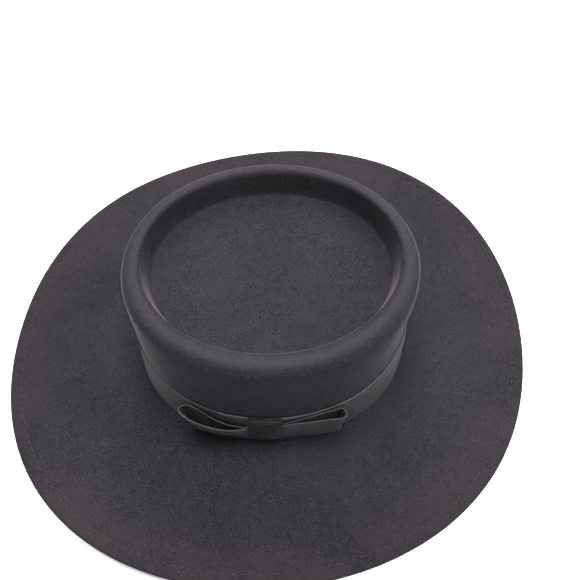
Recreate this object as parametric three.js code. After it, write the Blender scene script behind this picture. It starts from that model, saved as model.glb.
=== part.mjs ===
// A wide-brimmed wool felt hat with a flat crown pressed into a shallow dish, a ribbon band and a flat bow.
// Millimetres, +Z up. The hat lies on its brim, which touches Z = 0. The bow faces -Y.
// Angles are in degrees, anticlockwise from +X seen from above, and go round the oval of the head.
import * as THREE from 'three';

// Driving sizes of the felt body
const headLength = 193;        // inside of the head opening, side to side as it lies here
const headWidth = 173;         // inside of the head opening, the short way
const fullness = 0.023;        // how far the oval swells at its four corners, fading towards the crest
const felt = 2.1;              // one layer of felt
const crownHeight = 100.5;     // table to the crest of the rim
const crownLean = 1.8;         // how far the crown leans towards +X at its crest
const crestTilt = 2.4;         // how much lower the crest is at the back than at the front
const dishDepth = 20.5;        // crest of the rim to the floor of the dish
const rimRadius = 8;           // outer roll of the rim
const rollInEnds = 4.2;        // inner roll of the rim, from its crest to the dish wall, at the oval's ends
const rollInSides = 9;         // the same at the front and the back
const dishShift = 4;           // how far the dish sits towards the back of the rim
const dishTaper = 3;           // how much narrower the dish is at its foot than under the roll, each side
const dishFootRadius = 2.5;    // turn from the dish wall into its floor
const dishFootLean = 10;       // degrees short of upright where that turn meets the dish wall
const dishDome = 1.2;          // rise of the dish floor at its middle
const wallWaist = 1.2;         // how far the wall draws in above the ribbon
const wallTaper = 2.3;         // how far the front and the back of the wall draw in at the top
const dentDepth = 1.6;         // depth of the soft dents in the wall
const brimWidth = 92.9;        // crown wall to brim edge
const brimRise = 4.4;          // table to the underside of the brim where it meets the crown
const breakRadius = 3.5;       // turn from the brim up into the crown
const weltWidth = 9;           // edge turned under and stitched down
const weltFelt = 1.8;          // the turned-under layer, pressed thinner
const weltStep = 0.2;          // width of the step where that layer ends
const liftHeight = 9.3;        // highest lift of the brim edge off the table
const liftCurve = 1.6;         // how late along the brim the lift comes, 1 being straight from the crown
const brimSway = 4.3;          // most that the brim edge reaches past its even width

// Driving sizes of the ribbon
const ribbonWidth = 38;        // band and bow are one ribbon
const ribbonThickness = 0.8;
const bandStart = 1.6;         // top of the brim at the crown to the lower edge of the band
const seam = 0.3;              // gap kept between pieces that touch
const bowAngle = 265.7;        // where the knot sits on the wall
const leftLoopLength = 51.5;   // knot centre to the fold of the left loop
const rightLoopLength = 48;    // knot centre to the fold of the right loop
const loopPuff = 12;           // how far the open left loop stands off the band
const knotWidth = 20.5;
const knotPuff = 4.6;          // how far the knot stands off the band
const knotEnd = 0.15;          // where the knot ends on the band, as a share of ribbonWidth

// Fineness of the surfaces
const columns = 64;            // round the hat
const arcSteps = 4;            // in each quarter of the dish roll and of the brim edge
const rollSteps = 5;           // in the outer roll of the rim
const turnSteps = 3;           // in the turns at the foot of the dish and at the foot of the crown
const bandSteps = 4;           // up the band
const loopStations = 22;       // along each bow loop
const acrossRibbon = 3;        // across the ribbon of the bow
const knotSteps = 6;           // across the knot

// Rows of the dish floor as shares of the way from its middle to its edge, and rows of the brim as
// shares of the way from the crown to the turned-under edge
const FLOOR_ROWS = [0.35, 0.7];
const BRIM_ROWS = [0.22, 0.44, 0.66, 0.85, 1];

// The crown wall from its foot to the roll of the rim: height as a share of that stretch, lean as a share
// of wallWaist
const WALL = [
  { up: 0.0, lean: 0.0 },
  { up: 0.08, lean: 0.0 },
  { up: 0.22, lean: -0.35 },
  { up: 0.36, lean: -0.75 },
  { up: 0.5, lean: -1.0 },
  { up: 0.64, lean: -0.8 },
  { up: 0.8, lean: -0.25 },
  { up: 0.92, lean: 0.0 },
  { up: 1.0, lean: -0.1 },
];

// Soft dents in the wall, and at the front its belly, which stands out: depth as a share of dentDepth,
// middle and reach as shares of the wall's height
const DENTS = [
  { at: 336, spread: 42, middle: 0.62, reach: 0.4, depth: 1.0 },
  { at: 212, spread: 34, middle: 0.3, reach: 0.3, depth: 0.5 },
  { at: 268, spread: 65, middle: 0.42, reach: 0.45, depth: -1.6 },
];

// Floppy waves of the brim: lift as a share of liftHeight, sway as a share of brimSway
const WAVES = [
  { at: 50, spread: 70, lift: 1.0, swaySpread: 75, sway: 0.85 },
  { at: 228, spread: 58, lift: 0.9, swaySpread: 75, sway: 1.0 },
  { at: 94, spread: 60, lift: 0.0, swaySpread: 60, sway: 0.5 },
  { at: 180, spread: 60, lift: 0.0, swaySpread: 180, sway: 0.79 },
  { at: 325, spread: 60, lift: 0.0, swaySpread: 50, sway: -0.35 },
];

// The left loop from knot to fold and back: along as a share of its length, slant as how far the lower
// edge stays behind in the same share, the stand-off of its upper and lower edges as shares of loopPuff,
// and the heights of those edges as shares of ribbonWidth
const LEFT_LOOP = [
  { along: 0.03, slant: 0.0, upper: 0.19, lower: 0.19, high: 0.74, low: 0.31 },
  { along: 0.2, slant: 0.0, upper: 0.21, lower: 0.2, high: 0.73, low: 0.29 },
  { along: 0.3, slant: 0.0, upper: 0.38, lower: 0.25, high: 0.73, low: 0.27 },
  { along: 0.4, slant: 0.0, upper: 0.58, lower: 0.25, high: 0.78, low: 0.23 },
  { along: 0.56, slant: 0.02, upper: 0.82, lower: 0.2, high: 0.92, low: 0.14 },
  { along: 0.72, slant: 0.04, upper: 0.9, lower: 0.17, high: 0.98, low: 0.06 },
  { along: 0.87, slant: 0.07, upper: 0.9, lower: 0.17, high: 1.0, low: 0.01 },
  { along: 0.96, slant: 0.09, upper: 0.82, lower: 0.16, high: 1.0, low: 0.0 },
  { along: 1.0, slant: 0.1, upper: 0.6, lower: 0.13, high: 1.0, low: 0.0 },
  { along: 0.97, slant: 0.09, upper: 0.34, lower: 0.09, high: 1.0, low: 0.0 },
  { along: 0.88, slant: 0.06, upper: 0.2, lower: 0.08, high: 1.0, low: 0.0 },
  { along: 0.74, slant: 0.03, upper: 0.15, lower: 0.07, high: 0.9, low: 0.02 },
  { along: 0.6, slant: 0.01, upper: 0.17, lower: 0.08, high: 0.8, low: 0.08 },
  { along: 0.4, slant: 0.0, upper: 0.2, lower: 0.09, high: 0.74, low: 0.18 },
  { along: 0.22, slant: 0.0, upper: 0.12, lower: 0.08, high: 0.7, low: 0.27 },
  { along: 0.03, slant: 0.0, upper: 0.09, lower: 0.07, high: 0.7, low: 0.31 },
];

// The right loop, flatter and folded square at its end, in the same columns
const RIGHT_LOOP = [
  { along: 0.03, slant: 0.0, upper: 0.19, lower: 0.19, high: 0.8, low: 0.31 },
  { along: 0.22, slant: 0.0, upper: 0.21, lower: 0.2, high: 0.86, low: 0.3 },
  { along: 0.4, slant: 0.0, upper: 0.28, lower: 0.2, high: 0.92, low: 0.24 },
  { along: 0.6, slant: 0.0, upper: 0.4, lower: 0.2, high: 0.95, low: 0.12 },
  { along: 0.78, slant: 0.0, upper: 0.55, lower: 0.21, high: 0.97, low: 0.03 },
  { along: 0.9, slant: 0.0, upper: 0.7, lower: 0.23, high: 0.97, low: 0.0 },
  { along: 0.985, slant: 0.0, upper: 0.72, lower: 0.25, high: 0.97, low: 0.0 },
  { along: 1.0, slant: 0.0, upper: 0.6, lower: 0.22, high: 0.97, low: 0.0 },
  { along: 1.0, slant: 0.0, upper: 0.32, lower: 0.13, high: 0.97, low: 0.0 },
  { along: 0.98, slant: 0.0, upper: 0.2, lower: 0.08, high: 0.97, low: 0.0 },
  { along: 0.86, slant: 0.0, upper: 0.12, lower: 0.065, high: 0.97, low: 0.0 },
  { along: 0.5, slant: 0.0, upper: 0.08, lower: 0.065, high: 0.93, low: 0.14 },
  { along: 0.25, slant: 0.0, upper: 0.075, lower: 0.07, high: 0.84, low: 0.27 },
  { along: 0.03, slant: 0.0, upper: 0.08, lower: 0.07, high: 0.78, low: 0.31 },
];

// The knot from its tuck over the band's upper edge down to where it turns in under the gathered loops:
// height as a share of ribbonWidth, stand-off as a share of knotPuff
const KNOT = [
  { height: 1.0, off: 0.62 },
  { height: 0.96, off: 0.95 },
  { height: 0.85, off: 1.0 },
  { height: 0.64, off: 0.99 },
  { height: 0.44, off: 0.95 },
  { height: 0.3, off: 0.86 },
  { height: 0.22, off: 0.62 },
];

// Sizes worked out from the driving ones
const halfLength = headLength / 2 + felt;
const halfWidth = headWidth / 2 + felt;
const meanRadius = (halfLength + halfWidth) / 2;
const ovalness = (halfLength - halfWidth) / 2;
const brimTop = brimRise + felt;
const weltThickness = felt + weltFelt;
const wallFoot = brimTop + breakRadius;
const wallTop = crownHeight - rimRadius;
const bandLow = brimTop + bandStart;
const bandHigh = bandLow + ribbonWidth;

const radians = THREE.MathUtils.degToRad;

// A smooth hump of height 1 at its middle that falls to 0 at the given distance
const hump = (distance, reach) => {
  const share = Math.min(Math.abs(distance) / reach, 1);
  return Math.cos((share * Math.PI) / 2) ** 2;
};

// Difference of two angles, from -180 to 180
const turnBetween = (angle, other) => THREE.MathUtils.euclideanModulo(angle - other + 180, 360) - 180;

const waveAt = (angle, share, spread) =>
  WAVES.reduce((sum, wave) => sum + wave[share] * hump(turnBetween(angle, wave.at), wave[spread]), 0);

const edgeLift = (angle) => liftHeight * waveAt(angle, 'lift', 'spread');
const edgeOut = (angle) => brimWidth + brimSway * waveAt(angle, 'sway', 'swaySpread');

// A point at an angle round the head oval and a distance out from the foot of the crown wall
const around = (angle, out, height) => {
  const turn = radians(angle);
  const radius = meanRadius + out;
  const oval = ovalness * Math.min(radius / meanRadius, 1);
  const up = THREE.MathUtils.clamp((height - brimTop) / (crownHeight - brimTop), 0, 1);
  const swell = 1 + fullness * (1 - up ** 2) * Math.sin(2 * turn) ** 2;
  const x = (radius + oval) * Math.cos(turn) * swell;
  const y = (radius - oval) * Math.sin(turn) * swell;
  return new THREE.Vector3(x + up * crownLean, y, height - (up * crestTilt * y) / (2 * halfWidth));
};

const angles = Array.from({ length: columns }, (_, column) => (column * 360) / columns);

// The same point with the middle of the brim's outline over the origin
const outline = new THREE.Box3().setFromPoints(angles.map((angle) => around(angle, edgeOut(angle), 0)));
const middle = outline.getCenter(new THREE.Vector3());
const place = (angle, out, height) => around(angle, out, height).sub(middle);

// How far the outside of the crown wall stands out from its foot, at an angle and a height
const wallOut = (angle, height) => {
  const up = (height - wallFoot) / (wallTop - wallFoot);
  const above = WALL.find((row) => row.up > up) ?? WALL[WALL.length - 1];
  const below = WALL[Math.max(WALL.indexOf(above) - 1, 0)];
  const share = THREE.MathUtils.clamp((up - below.up) / (above.up - below.up), 0, 1);
  const lean = THREE.MathUtils.lerp(below.lean, above.lean, share) * wallWaist;
  const taper = wallTaper * (THREE.MathUtils.clamp(up, 0, 1) * Math.sin(radians(angle))) ** 2;
  const dents = DENTS.map((dent) =>
    dent.depth * hump(turnBetween(angle, dent.at), dent.spread) * hump(up - dent.middle, dent.reach));
  return lean - taper - dentDepth * dents.reduce((sum, dent) => sum + dent);
};

// Quarter turns and other arcs about an [out, height] centre, as steps after the first point
const arc = ([out, height], radiusOut, radiusUp, from, to, steps) =>
  Array.from({ length: steps }, (_, step) => {
    const turn = radians(from + ((to - from) * (step + 1)) / steps);
    return [out + radiusOut * Math.cos(turn), height + radiusUp * Math.sin(turn)];
  });

// The upper side of the felt from the middle of the dish to the brim edge, with the layer under each point
const feltSection = (angle) => {
  const crest = wallOut(angle, wallTop) - rimRadius;
  const floorHeight = crownHeight - dishDepth;
  const side = Math.sin(radians(angle));
  const rollIn = THREE.MathUtils.lerp(rollInEnds, rollInSides, side ** 2) - dishShift * side;
  const floorEdge = crest - rollIn - dishTaper - dishFootRadius;
  const rows = [];
  for (const share of FLOOR_ROWS) {
    rows.push([(meanRadius + floorEdge) * share - meanRadius, floorHeight + dishDome * (1 - share ** 2)]);
  }
  rows.push([floorEdge, floorHeight]);
  const footTurn = [floorEdge, floorHeight + dishFootRadius];
  rows.push(...arc(footTurn, dishFootRadius, dishFootRadius, -90, -dishFootLean, turnSteps));
  rows.push(...arc([crest, crownHeight - rollIn], rollIn, rollIn, 180, 90, arcSteps));
  rows.push(...arc([crest, wallTop], rimRadius, rimRadius, 90, 0, rollSteps));
  for (const row of WALL.slice(0, -1).reverse()) {
    const height = THREE.MathUtils.lerp(wallFoot, wallTop, row.up);
    rows.push([wallOut(angle, height), height]);
  }
  rows.push(...arc([breakRadius, wallFoot], breakRadius, breakRadius, 180, 270, turnSteps));
  const roll = weltThickness / 2;
  const reach = edgeOut(angle) - breakRadius;
  const weltStart = reach - weltWidth;
  const lift = edgeLift(angle);
  const brimRow = (run) => [
    breakRadius + run,
    THREE.MathUtils.lerp(brimTop, weltThickness, THREE.MathUtils.smoothstep(run, 0, weltStart))
      + lift * (run / reach) ** liftCurve,
  ];
  rows.push(...BRIM_ROWS.map((share) => brimRow(weltStart * share)));
  const layers = rows.map(() => felt);
  const weltRuns = [weltStart + weltStep, reach - (weltWidth + roll) / 2, reach - roll];
  rows.push(...weltRuns.map(brimRow));
  layers.push(...weltRuns.map(() => weltThickness));
  return { rows, layers, roll };
};

// The far side of a layer: each point moved square to the section, by the layer under it
const underside = ({ rows, layers }) =>
  rows.map(([out, height], index) => {
    const [outBefore, heightBefore] = rows[Math.max(index - 1, 0)];
    const [outAfter, heightAfter] = rows[Math.min(index + 1, rows.length - 1)];
    const along = new THREE.Vector2(outAfter - outBefore, heightAfter - heightBefore).normalize();
    return [out + along.y * layers[index], height - along.x * layers[index]];
  });

// A body from its points and its triangles, three indices each
const solid = (points, faces) => {
  const geometry = new THREE.BufferGeometry().setFromPoints(points);
  geometry.setIndex(faces);
  geometry.computeVertexNormals();
  return geometry;
};

// Joins rings of points into one closed body. Each end of the stack is one point on the axis.
const closedStack = (first, rings, last) => {
  const points = [first, ...rings.flat(), last];
  const count = rings[0].length;
  const faces = [];
  const at = (ring, column) => 1 + ring * count + (column % count);
  for (let column = 0; column < count; column += 1) {
    faces.push(0, at(0, column), at(0, column + 1));
    faces.push(points.length - 1, at(rings.length - 1, column + 1), at(rings.length - 1, column));
    for (let ring = 0; ring < rings.length - 1; ring += 1) {
      faces.push(at(ring, column), at(ring + 1, column), at(ring + 1, column + 1));
      faces.push(at(ring, column), at(ring + 1, column + 1), at(ring, column + 1));
    }
  }
  return solid(points, faces);
};

const feltBody = () => {
  const sections = angles.map((angle) => {
    const section = feltSection(angle);
    const top = section.rows;
    const bottom = underside(section);
    const [edgeOutward, edgeHeight] = top[top.length - 1];
    const edge = arc([edgeOutward, edgeHeight - section.roll], section.roll, section.roll, 90, -90, arcSteps);
    return [...top, ...edge, ...bottom.slice(0, -1).reverse()];
  });
  const rings = sections[0].map((_, row) =>
    sections.map((section, column) => place(angles[column], section[row][0], section[row][1])));
  const floorMiddle = (below) => place(0, -meanRadius, crownHeight - dishDepth + dishDome - below);
  return closedStack(floorMiddle(0), rings, floorMiddle(felt));
};

// The outer face of the band, which follows the wall and flares with the turn into the brim,
// and places given by their stand-off from that face
const bandFace = (angle, height) => {
  const below = Math.min(Math.max(wallFoot - height, 0), breakRadius);
  const flare = breakRadius - Math.sqrt(breakRadius ** 2 - below ** 2);
  return wallOut(angle, Math.max(height, wallFoot)) + flare + seam + ribbonThickness;
};
const onBand = (angle, off, height) => place(angle, bandFace(angle, height) + off, height);

const hatBand = () => {
  const heights = Array.from({ length: bandSteps + 1 }, (_, step) =>
    THREE.MathUtils.lerp(bandLow, bandHigh, step / bandSteps));
  const inner = heights.map((height) => angles.map((angle) => onBand(angle, -ribbonThickness, height)));
  const outer = heights.map((height) => angles.map((angle) => onBand(angle, 0, height)));
  const rings = [...outer, ...inner.reverse()];
  const faces = [];
  for (let ring = 0; ring < rings.length; ring += 1) {
    const next = (ring + 1) % rings.length;
    for (let column = 0; column < columns; column += 1) {
      const beside = (column + 1) % columns;
      faces.push(ring * columns + column, ring * columns + beside, next * columns + beside);
      faces.push(ring * columns + column, next * columns + beside, next * columns + column);
    }
  }
  return solid(rings.flat(), faces);
};

// A ribbon as a closed slab: a grid of points for its middle layer, thickened both ways
const ribbonSlab = (grid) => {
  const rows = grid.length;
  const cells = grid[0].length;
  const normalAt = (row, cell) => {
    const along = new THREE.Vector3().subVectors(
      grid[Math.min(row + 1, rows - 1)][cell],
      grid[Math.max(row - 1, 0)][cell],
    );
    const across = new THREE.Vector3().subVectors(
      grid[row][Math.min(cell + 1, cells - 1)],
      grid[row][Math.max(cell - 1, 0)],
    );
    return along.cross(across).normalize();
  };
  const layer = (side) => grid.map((line, row) => line.map((point, cell) =>
    point.clone().addScaledVector(normalAt(row, cell), (side * ribbonThickness) / 2)));
  const points = [...layer(1).flat(), ...layer(-1).flat()];
  const front = (row, cell) => row * cells + cell;
  const back = (row, cell) => rows * cells + row * cells + cell;
  const faces = [];
  const quad = (a, b, c, d) => faces.push(a, b, c, a, c, d);
  for (let row = 0; row < rows - 1; row += 1) {
    for (let cell = 0; cell < cells - 1; cell += 1) {
      quad(front(row, cell), front(row + 1, cell), front(row + 1, cell + 1), front(row, cell + 1));
      quad(back(row, cell), back(row, cell + 1), back(row + 1, cell + 1), back(row + 1, cell));
    }
    quad(front(row, 0), back(row, 0), back(row + 1, 0), front(row + 1, 0));
    quad(front(row, cells - 1), front(row + 1, cells - 1), back(row + 1, cells - 1), back(row, cells - 1));
  }
  for (let cell = 0; cell < cells - 1; cell += 1) {
    quad(front(0, cell), front(0, cell + 1), back(0, cell + 1), back(0, cell));
    quad(front(rows - 1, cell), back(rows - 1, cell), back(rows - 1, cell + 1), front(rows - 1, cell + 1));
  }
  return solid(points, faces);
};

// A loop of the bow, smooth through the rows of its table, on one side of the knot
const bowLoop = (table, length, side) => {
  const edge = (off, height, stayBehind) => new THREE.CatmullRomCurve3(table.map((row) => {
    const along = row.along - stayBehind * row.slant;
    const angle = bowAngle + side * THREE.MathUtils.radToDeg((along * length) / meanRadius);
    return onBand(angle, row[off] * loopPuff, bandLow + row[height] * ribbonWidth);
  }), false, 'centripetal');
  const lower = edge('lower', 'low', 1).getSpacedPoints(loopStations);
  const upper = edge('upper', 'high', 0).getSpacedPoints(loopStations);
  return ribbonSlab(lower.map((point, station) => Array.from({ length: acrossRibbon + 1 }, (_, cell) =>
    point.clone().lerp(upper[station], cell / acrossRibbon))));
};

// The knot: a ribbon wrapped over the middle of the bow, tucked in over the band and under the loops
const bowKnot = () => {
  const halfTurn = THREE.MathUtils.radToDeg(knotWidth / 2 / meanRadius);
  const clear = seam + ribbonThickness / 2;
  const rowAt = (angle) => [
    onBand(angle, -ribbonThickness / 2 + seam, bandHigh + clear),
    ...KNOT.map((row) => {
      const height = THREE.MathUtils.lerp(bandLow - clear, bandHigh + clear, row.height);
      return onBand(angle, row.off * knotPuff, height);
    }),
    onBand(angle, clear, bandLow + knotEnd * ribbonWidth),
  ];
  return ribbonSlab(Array.from({ length: knotSteps + 1 }, (_, step) =>
    rowAt(bowAngle - halfTurn + (2 * halfTurn * step) / knotSteps)));
};

const feltMaterial = new THREE.MeshStandardMaterial({ color: 0x2b292c, roughness: 0.95, metalness: 0 });
const ribbonMaterial = new THREE.MeshStandardMaterial({ color: 0x2d2e31, roughness: 0.7, metalness: 0 });

const piece = (name, geometry, material) => {
  const mesh = new THREE.Mesh(geometry, material);
  mesh.name = name;
  return mesh;
};

const hat = new THREE.Group();
hat.add(piece('felt_body', feltBody(), feltMaterial));
hat.add(piece('hat_band', hatBand(), ribbonMaterial.clone()));
hat.add(piece('bow_loop_left', bowLoop(LEFT_LOOP, leftLoopLength, -1), ribbonMaterial.clone()));
hat.add(piece('bow_loop_right', bowLoop(RIGHT_LOOP, rightLoopLength, 1), ribbonMaterial.clone()));
hat.add(piece('bow_knot', bowKnot(), ribbonMaterial.clone()));

export default hat;
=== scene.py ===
import math

import bpy
import numpy as np
from mathutils import Matrix, Vector


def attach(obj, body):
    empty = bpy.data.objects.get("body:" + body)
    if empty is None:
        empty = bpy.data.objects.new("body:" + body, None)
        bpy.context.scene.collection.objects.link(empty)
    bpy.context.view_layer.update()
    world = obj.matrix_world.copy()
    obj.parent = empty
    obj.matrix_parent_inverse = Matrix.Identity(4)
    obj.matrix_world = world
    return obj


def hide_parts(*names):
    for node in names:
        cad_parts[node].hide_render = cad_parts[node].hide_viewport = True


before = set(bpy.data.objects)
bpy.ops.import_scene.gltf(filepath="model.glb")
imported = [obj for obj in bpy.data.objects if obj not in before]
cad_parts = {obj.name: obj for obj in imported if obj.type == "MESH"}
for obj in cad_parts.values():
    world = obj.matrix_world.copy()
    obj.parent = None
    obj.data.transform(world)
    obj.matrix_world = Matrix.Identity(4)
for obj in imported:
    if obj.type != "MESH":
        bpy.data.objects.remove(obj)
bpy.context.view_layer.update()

# The camera stands in front of the hat and looks steeply down on it, a little turned about its own axis.
# Pixels are those of a square picture. The line of sight to the crown crosses it at aim_across, aim_down.
picture = 580
focal_pixels = 650
aim_across = 267.6
aim_down = 296.2
aim_height = 0.05
aim_distance = 0.466
aim_elevation = math.radians(57.64)
aim_azimuth = math.radians(1.37)
camera_roll = math.radians(3.67)

camera_data = bpy.data.cameras.new("camera")
camera_data.sensor_width = 36
camera_data.lens = focal_pixels / picture * camera_data.sensor_width
camera = bpy.data.objects.new("camera", camera_data)
bpy.context.scene.collection.objects.link(camera)
bpy.context.scene.camera = camera

toward = Vector((
    math.sin(aim_azimuth) * math.cos(aim_elevation),
    -math.cos(aim_azimuth) * math.cos(aim_elevation),
    math.sin(aim_elevation),
))
across = Vector((math.cos(aim_azimuth), math.sin(aim_azimuth), 0))
upright = Matrix((across, toward.cross(across), toward))
rolled = Matrix.Rotation(camera_roll, 3, "Z")
sight = Vector(((aim_across - picture / 2) / focal_pixels, (picture / 2 - aim_down) / focal_pixels, -1))
turned = Vector((0, 0, -1)).rotation_difference(sight).to_matrix()
camera.matrix_world = (turned @ rolled @ upright).transposed().to_4x4()
camera.location = toward * aim_distance + Vector((0, 0, aim_height))

# The floor is a plain pale table that runs out of sight.
# The light is soft and comes mostly from above and behind, a little from the right.
floor_reach = 30.0
floor_color = (0.8, 0.8, 0.805, 1)
floor_roughness = 0.9
room_color = (0.9, 0.86, 1.0, 1)
room_strength = 0.7
SOFTBOXES = [
    dict(name="top", place=(0.0, 0.0, 1.7), size=0.8, power=60.0),
    dict(name="back", place=(0.0, 1.3, 1.1), size=0.9, power=45.0),
    dict(name="right", place=(1.3, 0.0, 1.1), size=0.9, power=25.0),
]

floor_mesh = bpy.data.meshes.new("floor")
floor_corners = [(-1, -1), (1, -1), (1, 1), (-1, 1)]
floor_mesh.from_pydata([(x * floor_reach, y * floor_reach, 0) for x, y in floor_corners], [], [(0, 1, 2, 3)])
floor_finish = bpy.data.materials.new("pale_floor")
floor_finish.use_nodes = True
floor_finish.node_tree.nodes["Principled BSDF"].inputs["Base Color"].default_value = floor_color
floor_finish.node_tree.nodes["Principled BSDF"].inputs["Roughness"].default_value = floor_roughness
floor_mesh.materials.append(floor_finish)
floor = bpy.data.objects.new("floor", floor_mesh)
bpy.context.scene.collection.objects.link(floor)

room = bpy.data.worlds.new("room")
room.use_nodes = True
room.node_tree.nodes["Background"].inputs["Color"].default_value = room_color
room.node_tree.nodes["Background"].inputs["Strength"].default_value = room_strength
bpy.context.scene.world = room
bpy.context.scene.view_settings.view_transform = "Standard"

for box in SOFTBOXES:
    panel = bpy.data.lights.new(box["name"], "AREA")
    panel.energy = box["power"]
    panel.shape = "SQUARE"
    panel.size = box["size"]
    softbox = bpy.data.objects.new(box["name"], panel)
    bpy.context.scene.collection.objects.link(softbox)
    softbox.location = box["place"]
    softbox.rotation_euler = (-Vector(box["place"])).to_track_quat("-Z", "Y").to_euler()

# The felt body is crown and brim, blocked from one hood of black wool felt and hollow inside. The top is
# pressed down into a shallow dish, and the edge of the brim is turned under and stitched down.
# Sizes are in millimetres. Angles go round the oval of the head, anticlockwise from +X seen from above.
head_length = 193.0
head_width = 173.0
fullness = 0.023
felt = 2.1
crown_height = 100.5
crown_lean = 1.8
crest_tilt = 2.4
dish_depth = 20.5
rim_radius = 8.0
roll_in_ends = 4.2
roll_in_sides = 9.0
dish_shift = 4.0
dish_taper = 3.0
dish_foot_radius = 2.5
dish_foot_lean = 10.0
dish_dome = 1.2
wall_waist = 1.2
wall_taper = 2.3
dent_depth = 1.6
brim_width = 92.9
brim_rise = 4.4
break_radius = 3.5
welt_width = 9.0
welt_felt = 1.8
welt_slope = 0.7
lift_height = 9.3
lift_curve = 1.6
brim_sway = 4.3
stitch_inset = 8.4
groove_depth = 0.32
groove_reach = 1.5
welt_swell = 0.22
edge_zone = 13.0
ripple_height = 0.11
# The next two set how far down from the top of the crown the painted highlight on the rim's crest reaches,
# and over what height it fades in.
highlight_reach = 2.6
highlight_fade = 2.4

WALL_UP = [0.0, 0.08, 0.22, 0.36, 0.5, 0.64, 0.8, 0.92, 1.0]
WALL_LEAN = [0.0, 0.0, -0.35, -0.75, -1.0, -0.8, -0.25, 0.0, -0.1]
DENTS = [
    dict(at=336, spread=42, middle=0.62, reach=0.4, depth=1.0),
    dict(at=212, spread=34, middle=0.3, reach=0.3, depth=0.5),
    dict(at=268, spread=65, middle=0.42, reach=0.45, depth=-1.6),
]
WAVES = [
    dict(at=50, spread=70, lift=1.0, sway_spread=75, sway=0.85),
    dict(at=228, spread=58, lift=0.9, sway_spread=75, sway=1.0),
    dict(at=94, spread=60, lift=0.0, sway_spread=60, sway=0.5),
    dict(at=180, spread=60, lift=0.0, sway_spread=180, sway=0.79),
    dict(at=325, spread=60, lift=0.0, sway_spread=50, sway=-0.35),
]

half_length = head_length / 2 + felt
half_width = head_width / 2 + felt
mean_radius = (half_length + half_width) / 2
ovalness = (half_length - half_width) / 2
brim_top = brim_rise + felt
welt_thickness = felt + welt_felt
wall_foot = brim_top + break_radius
wall_top = crown_height - rim_radius
edge_roll = welt_thickness / 2


def hump(distance, reach):
    """A cosine squared, 1 at no distance and 0 from the reach on"""
    return np.cos(np.clip(np.abs(distance) / reach, 0, 1) * np.pi / 2) ** 2


def turn_between(angle, other):
    """The difference of two angles in degrees, from -180 to 180"""
    return (angle - other + 180) % 360 - 180


def edge_lift(angle):
    """How far the brim edge lifts off the table: the waves' humps added up"""
    return lift_height * sum(w["lift"] * hump(turn_between(angle, w["at"]), w["spread"]) for w in WAVES)


def edge_out(angle):
    """How far the brim edge reaches from the foot of the wall: its even width and the waves' sway"""
    sway = sum(w["sway"] * hump(turn_between(angle, w["at"]), w["sway_spread"]) for w in WAVES)
    return brim_width + brim_sway * sway


def around(angle, out, height):
    """Points at an angle round the head oval, a distance out from the foot of the wall, and a height: an
    ellipse that swells at its four corners, less so, leaning and tilting more the higher it is"""
    turn = np.radians(angle)
    radius = mean_radius + out
    oval = ovalness * np.minimum(radius / mean_radius, 1)
    up = np.clip((height - brim_top) / (crown_height - brim_top), 0, 1)
    swell = 1 + fullness * (1 - up**2) * np.sin(2 * turn) ** 2
    x = (radius + oval) * np.cos(turn) * swell
    y = (radius - oval) * np.sin(turn) * swell
    return np.stack([x + up * crown_lean, y, height - up * crest_tilt * y / (2 * half_width)], -1)


whole_turn = np.arange(0, 360, 1.0)
outline = around(whole_turn, edge_out(whole_turn), np.zeros_like(whole_turn))
outline_middle = (outline.min(0) + outline.max(0)) / 2


def place(angle, out, height):
    """The same points with the middle of the brim outline over the origin"""
    angle, out, height = np.broadcast_arrays(angle, out, height)
    return around(angle, out, height) - outline_middle


def wall_out(angle, height):
    """How far the crown wall stands out from its foot: the waist by height, less the taper of front and back
    and the soft dents"""
    up = np.clip((height - wall_foot) / (wall_top - wall_foot), 0, 1)
    dents = sum(
        d["depth"] * hump(turn_between(angle, d["at"]), d["spread"]) * hump(up - d["middle"], d["reach"])
        for d in DENTS
    )
    taper = wall_taper * (up * np.sin(np.radians(angle))) ** 2
    return np.interp(up, WALL_UP, WALL_LEAN) * wall_waist - taper - dent_depth * dents


def arc(out, height, radius, start, end, steps):
    """Rows of points on part of a circle about an out and height centre, without its first point"""
    turn = np.radians(np.linspace(start, end, steps + 1)[1:, None])
    return out + radius * np.cos(turn), height + radius * np.sin(turn)


def soften(rows, times):
    """Each row becomes half itself and a quarter of each neighbour, so many times over"""
    rows = rows.copy()
    for _ in range(times):
        rows[1:-1] = (rows[:-2] + 2 * rows[1:-1] + rows[2:]) / 4
    return rows


def add_mesh(name, points, faces, finish):
    """A smooth mesh object in metres from points in millimetres and a list of face index arrays"""
    mesh = bpy.data.meshes.new(name)
    listed = [face for group in faces for face in group.tolist()]
    mesh.from_pydata((points.reshape(-1, 3) * 0.001).tolist(), [], listed)
    mesh.shade_smooth()
    mesh.materials.append(finish)
    piece = bpy.data.objects.new(name, mesh)
    bpy.context.scene.collection.objects.link(piece)
    return piece


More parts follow.
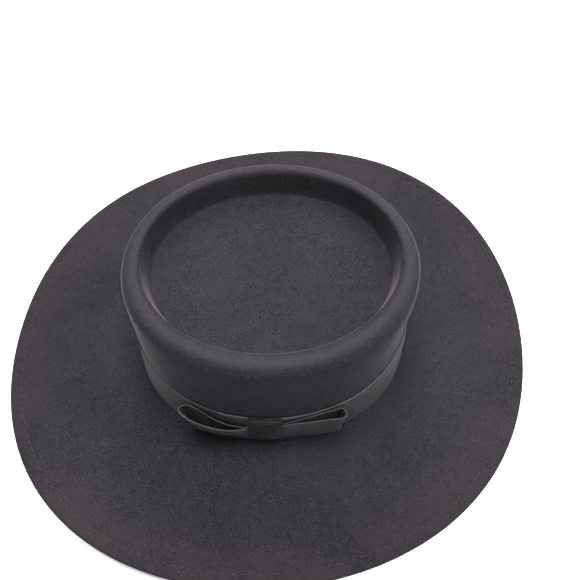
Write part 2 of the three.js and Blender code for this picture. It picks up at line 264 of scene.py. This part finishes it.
class Socket:
    """A shader output. Arithmetic on it adds Math nodes, and node() adds any other kind."""

    def __init__(self, tree, output=None):
        self.tree = tree
        self.output = output

    def node(self, kind, settings=None, inputs=None, output=0):
        """Adds a node: its settings first, then the values or links of its sockets, and gives one output"""
        made = self.tree.nodes.new(kind)
        for name, value in (settings or {}).items():
            setattr(made, name, value)
        for name, value in (inputs or {}).items():
            if isinstance(value, Socket):
                self.tree.links.new(value.output, made.inputs[name])
            else:
                made.inputs[name].default_value = value
        return Socket(self.tree, made.outputs[output] if len(made.outputs) else None)

    def math(self, operation, first, second=0.0):
        return self.node("ShaderNodeMath", {"operation": operation}, {0: first, 1: second})

    def __add__(self, other):
        return self.math("ADD", self, other)

    def __radd__(self, other):
        return self.math("ADD", other, self)

    def __sub__(self, other):
        return self.math("SUBTRACT", self, other)

    def __rsub__(self, other):
        return self.math("SUBTRACT", other, self)

    def __mul__(self, other):
        return self.math("MULTIPLY", self, other)

    def __rmul__(self, other):
        return self.math("MULTIPLY", other, self)

    def noise(self, size, detail=2.0, roughness=0.5):
        """Noise about 0.5 with features of this size in metres, on the piece's own coordinates"""
        where = self.node("ShaderNodeTexCoord", output="Object")
        return self.node("ShaderNodeTexNoise", {"noise_dimensions": "3D"}, {
            "Vector": where, "Scale": 1 / size, "Detail": detail, "Roughness": roughness,
        })

    def ramp(self, low, high):
        """0 up to the low value, 1 from the high value on, smooth between"""
        return self.node("ShaderNodeMapRange", {"interpolation_type": "SMOOTHSTEP"}, {
            "Value": self, "From Min": low, "From Max": high,
        })

    def between(self, first, second):
        """A colour from the first to the second as this mask goes from 0 to 1"""
        return self.node("ShaderNodeMix", {"data_type": "RGBA"}, {0: self, 6: first, 7: second}, output=2)

    def surface(self, **inputs):
        """Ends the material in one shader, with these sockets"""
        named = {name.replace("_", " "): value for name, value in inputs.items()}
        shader = self.node("ShaderNodeBsdfPrincipled", {}, named)
        self.node("ShaderNodeOutputMaterial", {}, {"Surface": shader})


def new_finish(name):
    """An empty material and the socket that its nodes are made from"""
    finish = bpy.data.materials.new(name)
    finish.use_nodes = True
    finish.node_tree.nodes.clear()
    return finish, Socket(finish.node_tree)


# The third of these colours is a painted glow for the brim edge and the fourth a painted highlight for the
# rim's crest; the rest are the felt's own tones and lint flecks.
felt_black = (0.0062, 0.006, 0.007, 1)
felt_faded = (0.0178, 0.0164, 0.0186, 1)
felt_edge_glow = (0.0195, 0.0138, 0.016, 1)
felt_crest_highlight = (0.024, 0.0222, 0.0242, 1)
fleck_color = (0.06, 0.055, 0.055, 1)

felt_finish, wool = new_finish("black_wool_felt")
cloudy = wool.noise(0.05, 3.0, 0.55)
mottle = wool.noise(0.006, 3.0, 0.6)
nap = wool.noise(0.0009, 2.0, 0.75)
fibres = wool.noise(0.0004, 2.0, 0.6)
flecks = wool.noise(0.0019, 1.0, 0.5)
tone = cloudy * 0.15 + mottle * 0.15 + nap * 0.7
worn = tone.ramp(0.4, 0.6)
from_edge = wool.node("ShaderNodeAttribute", {"attribute_name": "from_edge"}, output="Fac")
painted_crest_highlight = wool.node("ShaderNodeAttribute", {"attribute_name": "painted_crest_highlight"}, output="Fac")
# Towards the brim edge the felt is mixed to a lighter warm colour: a painted glow, the flare of the bright
# surroundings along the edge.
edge_glow_mask = 1 - from_edge.ramp(0.0, 0.04)
felt_color = worn.between(felt_black, felt_faded)
felt_color = (edge_glow_mask * (cloudy.ramp(0.4, 0.6) * 0.35 + 0.1)).between(felt_color, felt_edge_glow)
# On the crest of the rim the felt is mixed to a lighter colour: a painted highlight.
felt_color = (painted_crest_highlight * (nap * 0.5 + 0.3)).between(felt_color, felt_crest_highlight)
felt_color = flecks.ramp(0.78, 0.84).between(felt_color, fleck_color)
relief = nap * 0.6 + fibres * 0.3 + mottle * 0.4
felt_bump = wool.node("ShaderNodeBump", {}, {"Strength": 0.6, "Distance": 0.0006, "Height": relief})
wool.surface(
    Base_Color=felt_color, Roughness=0.95, Specular_IOR_Level=0.12, Normal=felt_bump,
    Sheen_Weight=0.16, Sheen_Roughness=0.22, Sheen_Tint=(0.87, 0.8, 0.84, 1),
)

felt_columns = 320
angles = np.arange(felt_columns) * 360 / felt_columns


def felt_rows():
    """The upper side of the felt from near the middle of the dish to the brim edge: dish floor, foot arc,
    inner and outer roll of the rim, wall, turn into the brim, and brim, with the layer under each row and
    each row's distance from the brim edge"""
    side = np.sin(np.radians(angles))[None]
    crest = wall_out(angles[None], wall_top) - rim_radius
    floor_height = crown_height - dish_depth
    roll_in = roll_in_ends + (roll_in_sides - roll_in_ends) * side**2 - dish_shift * side
    floor_edge = crest - roll_in - dish_taper - dish_foot_radius
    share = np.linspace(0.03, 1, 26)[:, None]
    rows = [((mean_radius + floor_edge) * share - mean_radius, floor_height + dish_dome * (1 - share**2))]
    foot = floor_height + dish_foot_radius
    rows.append(arc(floor_edge, foot, dish_foot_radius, -90, -dish_foot_lean, 8))
    rows.append(arc(crest, crown_height - roll_in, roll_in, 180, 90, 16))
    rows.append(arc(crest, wall_top, rim_radius, 90, 0, 14))
    height = np.linspace(wall_top, wall_foot, 34)[1:, None]
    rows.append((wall_out(angles[None], height), height))
    rows.append(arc(break_radius, wall_foot, break_radius, 180, 270, 7))
    crown = [np.concatenate([np.broadcast_to(r[i], (len(r[i]), felt_columns)) for r in rows]) for i in (0, 1)]
    reach = edge_out(angles)[None] - break_radius
    welt_start = reach - welt_width
    flat_share = np.linspace(0, 1, 37)[1:, None]
    edge_share = np.linspace(0, 1, 23)[1:, None]
    flat_run = reach - edge_zone
    run = np.concatenate([flat_run * flat_share, flat_run + (edge_zone - edge_roll) * edge_share])
    ease = np.clip(run / welt_start, 0, 1)
    ease = ease**2 * (3 - 2 * ease)
    lift = edge_lift(angles)[None] * (run / reach) ** lift_curve
    inset = reach - run
    press = groove_depth * hump(inset - stitch_inset, groove_reach)
    swell = welt_swell * hump(inset - stitch_inset / 2 - 1, stitch_inset / 2)
    brim = (break_radius + run, brim_top + (welt_thickness - brim_top) * ease + lift - press + swell)
    out = np.concatenate([soften(crown[0], 6), brim[0]])
    height = np.concatenate([soften(crown[1], 6), brim[1]])
    doubled = np.clip((welt_width - inset) / welt_slope, 0, 1)
    layers = np.concatenate([np.full_like(crown[0], felt), felt + welt_felt * doubled])
    distance = np.concatenate([np.broadcast_to(reach, crown[0].shape), inset])
    return out, height, layers, distance


def felt_ripple(angle, rows):
    """Small unevenness of the blocked felt: a few slow waves round the hat and across it"""
    draw = np.random.default_rng(7)
    along = np.linspace(0, 1, rows)[:, None]
    total = np.zeros((rows, len(angle)))
    for waves_round in (2, 3, 5, 7, 9, 12):
        phase = draw.uniform(0, 2 * np.pi, 2)
        across = draw.uniform(8, 30)
        turn = waves_round * np.radians(angle)[None] + phase[0] + 2 * np.sin(across * along / 5)
        total += np.sin(turn) * np.sin(across * along + phase[1]) / math.sqrt(waves_round)
    return total


def felt_normals(out, height):
    """The outward direction at each row, square to the section through its neighbours"""
    step_out = np.gradient(out, axis=0)
    step_up = np.gradient(height, axis=0)
    length = np.hypot(step_out, step_up)
    return -step_up / length, step_out / length


out, height, layers, inset = felt_rows()
normal_out, normal_up = felt_normals(out, height)
calm = np.minimum(hump(np.linspace(-1, 1, len(out)), 1)[:, None] * 3, 1)
ripple = ripple_height * felt_ripple(angles, len(out)) * calm
top_out = out + normal_out * ripple
top_up = height + normal_up * ripple
normal_out, normal_up = felt_normals(top_out, top_up)
under_out = top_out - normal_out * layers
under_up = top_up - normal_up * layers
edge_turn = np.radians(np.linspace(90, -90, 12)[1:-1, None])
middle_out = (top_out[-1] + under_out[-1]) / 2
middle_up = (top_up[-1] + under_up[-1]) / 2
ring_out = np.concatenate([top_out, middle_out + edge_roll * np.cos(edge_turn), under_out[::-1]])
ring_up = np.concatenate([top_up, middle_up + edge_roll * np.sin(edge_turn), under_up[::-1]])
rings = place(angles[None], ring_out, ring_up)
rings[..., 2] = np.maximum(rings[..., 2], 0)
dish_middle = place(0.0, -mean_radius, crown_height - dish_depth + dish_dome)
felt_points = np.concatenate([[dish_middle], rings.reshape(-1, 3), [dish_middle - [0, 0, felt]]])


def ring_quads(rows, columns, first=0):
    """Quads between rows of points that close on themselves, facing outwards for rows that go out and down"""
    here = first + np.arange(rows * columns).reshape(rows, columns)
    beside = np.roll(here, -1, axis=1)
    return np.stack([here[:-1], here[1:], beside[1:], beside[:-1]], -1).reshape(-1, 4)


column = np.arange(felt_columns)
beside = (column + 1) % felt_columns
last_ring = 1 + (len(rings) - 1) * felt_columns
felt_faces = [
    ring_quads(len(rings), felt_columns, 1),
    np.stack([np.zeros_like(column), 1 + column, 1 + beside], -1),
    np.stack([np.full_like(column, len(felt_points) - 1), last_ring + beside, last_ring + column], -1),
]
felt_body = add_mesh("felt_hat", felt_points, felt_faces, felt_finish)
edge_rows = len(edge_turn)
ring_inset = np.concatenate([inset, np.zeros((edge_rows, felt_columns)), inset[::-1]])
# The share of painted highlight: full at the top of the rim, none below its reach.
crest_highlight_share = np.clip((ring_up - crown_height + highlight_reach) / highlight_fade, 0, 1) ** 2
for name, rows, pole in (("from_edge", ring_inset / 1000, brim_width / 1000), ("painted_crest_highlight", crest_highlight_share, 0)):
    values = np.concatenate([[pole], rows.ravel(), [pole]]).astype(np.float32)
    felt_body.data.attributes.new(name, "FLOAT", "POINT").data.foreach_set("value", values)
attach(felt_body, "root")
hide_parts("felt_body")

# The edge stitching is one row of black thread that holds the turned-under edge. It dips through the felt
# between stitches, so that short stitches show above and below. Those below lie flat where the brim rests.
stitch_pitch = 5.5
stitch_length = 3.0
thread_radius = 0.24
thread_bow = 0.34
thread_sink = 0.16
thread_dark = (0.016, 0.0155, 0.0175, 1)
thread_light = (0.024, 0.023, 0.026, 1)

thread_finish, thread = new_finish("black_thread")
twist = thread.noise(0.0006, 1.0)
thread_bump = thread.node("ShaderNodeBump", {}, {"Strength": 0.4, "Distance": 0.0002, "Height": twist})
thread.surface(
    Base_Color=twist.between(thread_dark, thread_light), Roughness=0.65,
    Specular_IOR_Level=0.3, Normal=thread_bump,
)


def row_height(angle, side_up):
    """Height of one side of the brim along the stitch line, read off that side's last felt rows"""
    near_edge = slice(-30, None)
    row = [np.interp(-stitch_inset, -inset[near_edge, k], side_up[near_edge, k]) for k in range(felt_columns)]
    return np.interp(angle, np.append(angles, 360), np.append(row, row[0]))


def stitch_angles():
    """Angles of the stitches' middles, evenly spaced by length along the stitch line"""
    fine = np.linspace(0, 360, 2881)
    line = place(fine, edge_out(fine) - stitch_inset, 0.0)
    run = np.concatenate([[0], np.cumsum(np.linalg.norm(np.diff(line, axis=0), axis=1))])
    count = round(run[-1] / stitch_pitch)
    return np.interp(np.arange(count) * run[-1] / count, run, fine)


def stitches(middles, side_up, flip, sides=6, stations=7):
    """Thread tubes bowed over the surface: across each stitch a circle, along it a half sine that ends in
    the felt, for all the stitches at once"""
    along = np.linspace(-1, 1, stations)
    per_degree = 2 * np.pi * (mean_radius + brim_width) / 360
    angle = middles[:, None] + along[None] * stitch_length / 2 / per_degree
    rise = (np.cos(along * np.pi / 2) * thread_bow - thread_sink)[None]
    line = place(angle, edge_out(angle) - stitch_inset, row_height(angle, side_up) + flip * rise)
    direction = np.gradient(line, axis=1)
    direction /= np.linalg.norm(direction, axis=-1, keepdims=True)
    sideways = np.cross(direction, [0, 0, 1.0])
    upward = np.cross(sideways, direction)
    turn = np.arange(sides) * 2 * np.pi / sides
    ring = np.cos(turn)[:, None] * sideways[:, :, None] + np.sin(turn)[:, None] * upward[:, :, None]
    return line[:, :, None] + thread_radius * ring


middles = stitch_angles()
above = stitches(middles, top_up, 1)
below = stitches(middles + 180 / len(middles), under_up, -1)
below[..., 2] = np.maximum(below[..., 2], 0)
tubes = np.concatenate([above, below])
count, stations, sides = tubes.shape[:3]
index = np.arange(tubes.size // 3).reshape(count, stations, sides)
next_side = np.roll(index, -1, axis=2)
tube_quads = np.stack([index[:, :-1], next_side[:, :-1], next_side[:, 1:], index[:, 1:]], -1)
tube_faces = [tube_quads.reshape(-1, 4), index[:, 0, ::-1], index[:, -1]]
stitch_row = add_mesh("brim_stitches", tubes, tube_faces, thread_finish)
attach(stitch_row, "root")

# The band is black grosgrain ribbon, 38 mm wide, drawn round the foot of the crown and sewn on. Its fine
# ribs stand upright, and the bow hides where its ends meet.
ribbon_width = 38.0
ribbon_thickness = 0.6
ribbon_slab = 0.8
band_start = 1.6
seam = 0.3
rib_pitch = 0.95
pick_pitch = 0.5
band_low = brim_top + band_start
band_high = band_low + ribbon_width


def grosgrain(name, dark, light, shine):
    """The ribbon finish: upright ribs and fine picks as sine waves over the ribbon's own coordinates, with
    slubs that vary the colour between a dark and a light one and the gloss a little"""
    finish, weave = new_finish(name)
    strip = weave.node("ShaderNodeUVMap", {"uv_map": "ribbon"})
    strip_x = weave.node("ShaderNodeSeparateXYZ", {}, {"Vector": strip}, output="X")
    strip_y = weave.node("ShaderNodeSeparateXYZ", {}, {"Vector": strip}, output="Y")
    rib = weave.math("SINE", strip_x * (2 * math.pi / (rib_pitch * 0.001))) * 0.5 + 0.5
    pick = weave.math("SINE", strip_y * (2 * math.pi / (pick_pitch * 0.001))) * 0.5 + 0.5
    slub = weave.noise(0.003, 3.0)
    relief = rib + pick * 0.25 + slub * 0.4
    bump = weave.node("ShaderNodeBump", {}, {"Strength": 0.5, "Distance": 0.00025, "Height": relief})
    tone = rib * 0.4 + slub.ramp(0.35, 0.65) * 0.6
    weave.surface(
        Base_Color=tone.between(dark, light), Roughness=slub * 0.2 + 0.38, Specular_IOR_Level=shine,
        Sheen_Weight=0.08, Sheen_Roughness=0.3, Normal=bump,
    )
    return finish


ribbon_finish = grosgrain("black_grosgrain", (0.008, 0.0079, 0.0094, 1), (0.0235, 0.023, 0.025, 1), 0.65)


def band_face(angle, height):
    """The outer face of the band: the wall, a flare over the turn into the brim, the gap and the ribbon"""
    below = np.clip(wall_foot - height, 0, break_radius)
    flare = break_radius - np.sqrt(break_radius**2 - below**2)
    return wall_out(angle, np.maximum(height, wall_foot)) + flare + seam + ribbon_slab


def on_band(angle, off, height):
    """Points given by how far they stand off the band's outer face"""
    return place(angle, band_face(angle, height) + off, height)


def ribbon_piece(name, grid, lengthwise, finish, closed=False):
    """A ribbon from a grid of points of its middle layer, along by across, with its thickness added both
    ways and its own coordinates in metres along and across"""
    rows, cells = grid.shape[:2]
    index = np.arange(rows * cells).reshape(rows, cells)
    ahead = np.roll(index, -1, axis=0) if closed else index[1:]
    here = index if closed else index[:-1]
    quads = np.stack([here[:, :-1], ahead[:, :-1], ahead[:, 1:], here[:, 1:]], -1).reshape(-1, 4)
    piece = add_mesh(name, grid, [quads], finish)
    starts = np.repeat(np.arange(len(here)), cells - 1)
    cell = np.tile(np.arange(cells - 1), len(here))
    corner_row = np.stack([starts, starts + 1, starts + 1, starts], -1)
    corner_cell = np.stack([cell, cell, cell + 1, cell + 1], -1)
    u = corner_row * lengthwise / len(here)
    v = corner_cell * ribbon_width / (cells - 1)
    uv = piece.data.uv_layers.new(name="ribbon")
    uv.data.foreach_set("uv", (np.stack([u, v], -1) * 0.001).astype(np.float32).ravel())
    body = piece.modifiers.new("thickness", "SOLIDIFY")
    body.thickness = ribbon_thickness * 0.001
    body.offset = 0
    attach(piece, "root")
    return piece


band_columns = 360
band_angles = np.arange(band_columns) * 360 / band_columns
band_heights = np.linspace(band_low, band_high, 17)
band_grid = on_band(band_angles[:, None], -ribbon_slab / 2, band_heights[None])
band_steps = np.linalg.norm(np.roll(band_grid, -1, axis=0) - band_grid, axis=-1)
band_length = float(band_steps.sum(0).mean())
whole_ribs = round(band_length / rib_pitch) * rib_pitch
band = ribbon_piece("ribbon_band", band_grid, whole_ribs, ribbon_finish, closed=True)
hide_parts("hat_band")

# The bow is two loops of the same ribbon, gathered at the knot. The left one is puffed open and shows the
# inside of its fold, and the right one lies flat, with a square fold at its end.
bow_angle = 265.7
left_length = 51.5
right_length = 48.0
loop_puff = 12.0
loop_stations = 96
loop_cells = 56
gather_count = 7
gather_depth = 0.5

LEFT_LOOP = dict(
    along=[0.03, 0.2, 0.3, 0.4, 0.56, 0.72, 0.87, 0.96, 1.0, 0.97, 0.88, 0.74, 0.6, 0.4, 0.22, 0.03],
    slant=[0.0, 0.0, 0.0, 0.0, 0.02, 0.04, 0.07, 0.09, 0.1, 0.09, 0.06, 0.03, 0.01, 0.0, 0.0, 0.0],
    upper=[0.19, 0.21, 0.38, 0.58, 0.82, 0.9, 0.9, 0.82, 0.6, 0.34, 0.2, 0.15, 0.17, 0.2, 0.12, 0.09],
    lower=[0.19, 0.2, 0.25, 0.25, 0.2, 0.17, 0.17, 0.16, 0.13, 0.09, 0.08, 0.07, 0.08, 0.09, 0.08, 0.07],
    high=[0.74, 0.73, 0.73, 0.78, 0.92, 0.98, 1.0, 1.0, 1.0, 1.0, 1.0, 0.9, 0.8, 0.74, 0.7, 0.7],
    low=[0.31, 0.29, 0.27, 0.23, 0.14, 0.06, 0.01, 0.0, 0.0, 0.0, 0.0, 0.02, 0.08, 0.18, 0.27, 0.31],
)
RIGHT_LOOP = dict(
    along=[0.03, 0.22, 0.4, 0.6, 0.78, 0.9, 0.985, 1.0, 1.0, 0.98, 0.86, 0.5, 0.25, 0.03],
    slant=[0.0, 0.0, 0.0, 0.0, 0.0, 0.0, 0.0, 0.0, 0.0, 0.0, 0.0, 0.0, 0.0, 0.0],
    upper=[0.19, 0.21, 0.28, 0.4, 0.55, 0.7, 0.72, 0.6, 0.32, 0.2, 0.12, 0.08, 0.075, 0.08],
    lower=[0.19, 0.2, 0.2, 0.2, 0.21, 0.23, 0.25, 0.22, 0.13, 0.08, 0.065, 0.065, 0.07, 0.07],
    high=[0.8, 0.86, 0.92, 0.95, 0.97, 0.97, 0.97, 0.97, 0.97, 0.97, 0.97, 0.93, 0.84, 0.78],
    low=[0.31, 0.3, 0.24, 0.12, 0.03, 0.0, 0.0, 0.0, 0.0, 0.0, 0.0, 0.14, 0.27, 0.31],
)


def curve_through(points, count):
    """Evenly spaced points on the centripetal Catmull-Rom curve through these points"""
    ends = [2 * points[0] - points[1]], [2 * points[-1] - points[-2]]
    knots = np.concatenate([ends[0], points, ends[1]])
    gaps = np.sqrt(np.linalg.norm(np.diff(knots, axis=0), axis=1))
    t = np.concatenate([[0], np.cumsum(gaps)])
    u = np.linspace(t[1], t[-2], 60 * len(points))
    k = np.clip(np.searchsorted(t, u, side="right") - 1, 1, len(points) - 1)

    def lerp(a, b, i, j):
        share = ((u - t[k + i]) / (t[k + j] - t[k + i]))[:, None]
        return a * (1 - share) + b * share

    first = [lerp(knots[k + i], knots[k + i + 1], i, i + 1) for i in (-1, 0, 1)]
    second = [lerp(first[i], first[i + 1], i - 1, i + 1) for i in (0, 1)]
    fine = lerp(second[0], second[1], 0, 1)
    run = np.concatenate([[0], np.cumsum(np.linalg.norm(np.diff(fine, axis=0), axis=1))])
    even = np.linspace(0, run[-1], count)
    return np.stack([np.interp(even, run, fine[:, axis]) for axis in range(3)], -1)


def loop_edge(table, length, side, off, height, stay_behind):
    """One edge of a bow loop, through the rows of its table"""
    along = (np.array(table["along"]) - stay_behind * np.array(table["slant"])) * length
    angle = bow_angle + side * np.degrees(along / mean_radius)
    return curve_through(
        on_band(angle, np.array(table[off]) * loop_puff, band_low + np.array(table[height]) * ribbon_width),
        loop_stations,
    )


def bow_loop(table, length, side):
    """A grid along by across between the two edges of a loop, and the loop's length. Where the loop is
    narrower than its ribbon it is gathered: cosine pleats square to it, deeper the narrower it is"""
    lower = loop_edge(table, length, side, "lower", "low", 1)
    upper = loop_edge(table, length, side, "upper", "high", 0)
    share = np.linspace(0, 1, loop_cells + 1)[None, :, None]
    grid = lower[:, None] * (1 - share) + upper[:, None] * share
    steps = np.linalg.norm(np.diff(grid, axis=0), axis=-1)
    square = np.cross(np.gradient(grid, axis=0), np.gradient(grid, axis=1))
    square /= np.linalg.norm(square, axis=-1, keepdims=True)
    narrow = 1 - np.clip(np.linalg.norm(upper - lower, axis=-1) / ribbon_width, 0, 1)[:, None, None]
    pleat = np.cos(2 * np.pi * gather_count * share) - 1
    return grid + square * side * pleat * narrow * gather_depth, float(steps.sum(0).mean())


left_grid, left_run = bow_loop(LEFT_LOOP, left_length, -1)
left_loop = ribbon_piece("bow_left", left_grid, left_run, ribbon_finish)
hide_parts("bow_loop_left")
left_run / 1000

right_grid, right_run = bow_loop(RIGHT_LOOP, right_length, 1)
right_loop = ribbon_piece("bow_right", right_grid, right_run, ribbon_finish)
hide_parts("bow_loop_right")
right_run / 1000

# The knot is a short piece of the ribbon, folded narrower and wrapped over the middle of the bow. It tucks
# in over the band's upper edge and turns in under the gathered loops.
knot_width = 20.5
knot_puff = 4.6
knot_crown = 0.28
knot_end = 0.15
KNOT_HEIGHT = [1.0, 0.96, 0.85, 0.64, 0.44, 0.3, 0.22]
KNOT_OFF = [0.62, 0.95, 1.0, 0.99, 0.95, 0.86, 0.62]

# The knot takes a darker, less glossy copy of the ribbon finish: painted shade.
knot_shaded_finish = grosgrain("shaded_grosgrain", (0.0012, 0.0012, 0.0018, 1), (0.005, 0.0049, 0.0062, 1), 0.14)
knot_clear = seam + ribbon_slab / 2
knot_across = np.linspace(-1, 1, 25)


def knot_line(share):
    """The knot's section at one place across it: a curve from tuck to tuck, standing off less at its sides"""
    angle = bow_angle + share * np.degrees(knot_width / 2 / mean_radius)
    height = band_low - knot_clear + np.array(KNOT_HEIGHT) * (ribbon_width + 2 * knot_clear)
    off = np.array(KNOT_OFF) * knot_puff * (1 - knot_crown * share**4)
    height = np.concatenate([[band_high + knot_clear], height, [band_low + knot_end * ribbon_width]])
    off = np.concatenate([[-ribbon_slab / 2 + seam], off, [knot_clear]])
    return curve_through(on_band(angle, off, height), 56)


knot_grid = np.stack([knot_line(share) for share in knot_across], 1)
knot_run = float(np.linalg.norm(np.diff(knot_grid, axis=0), axis=-1).sum(0).mean())
knot = ribbon_piece("bow_wrap", knot_grid, knot_run, knot_shaded_finish)
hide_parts("bow_knot")
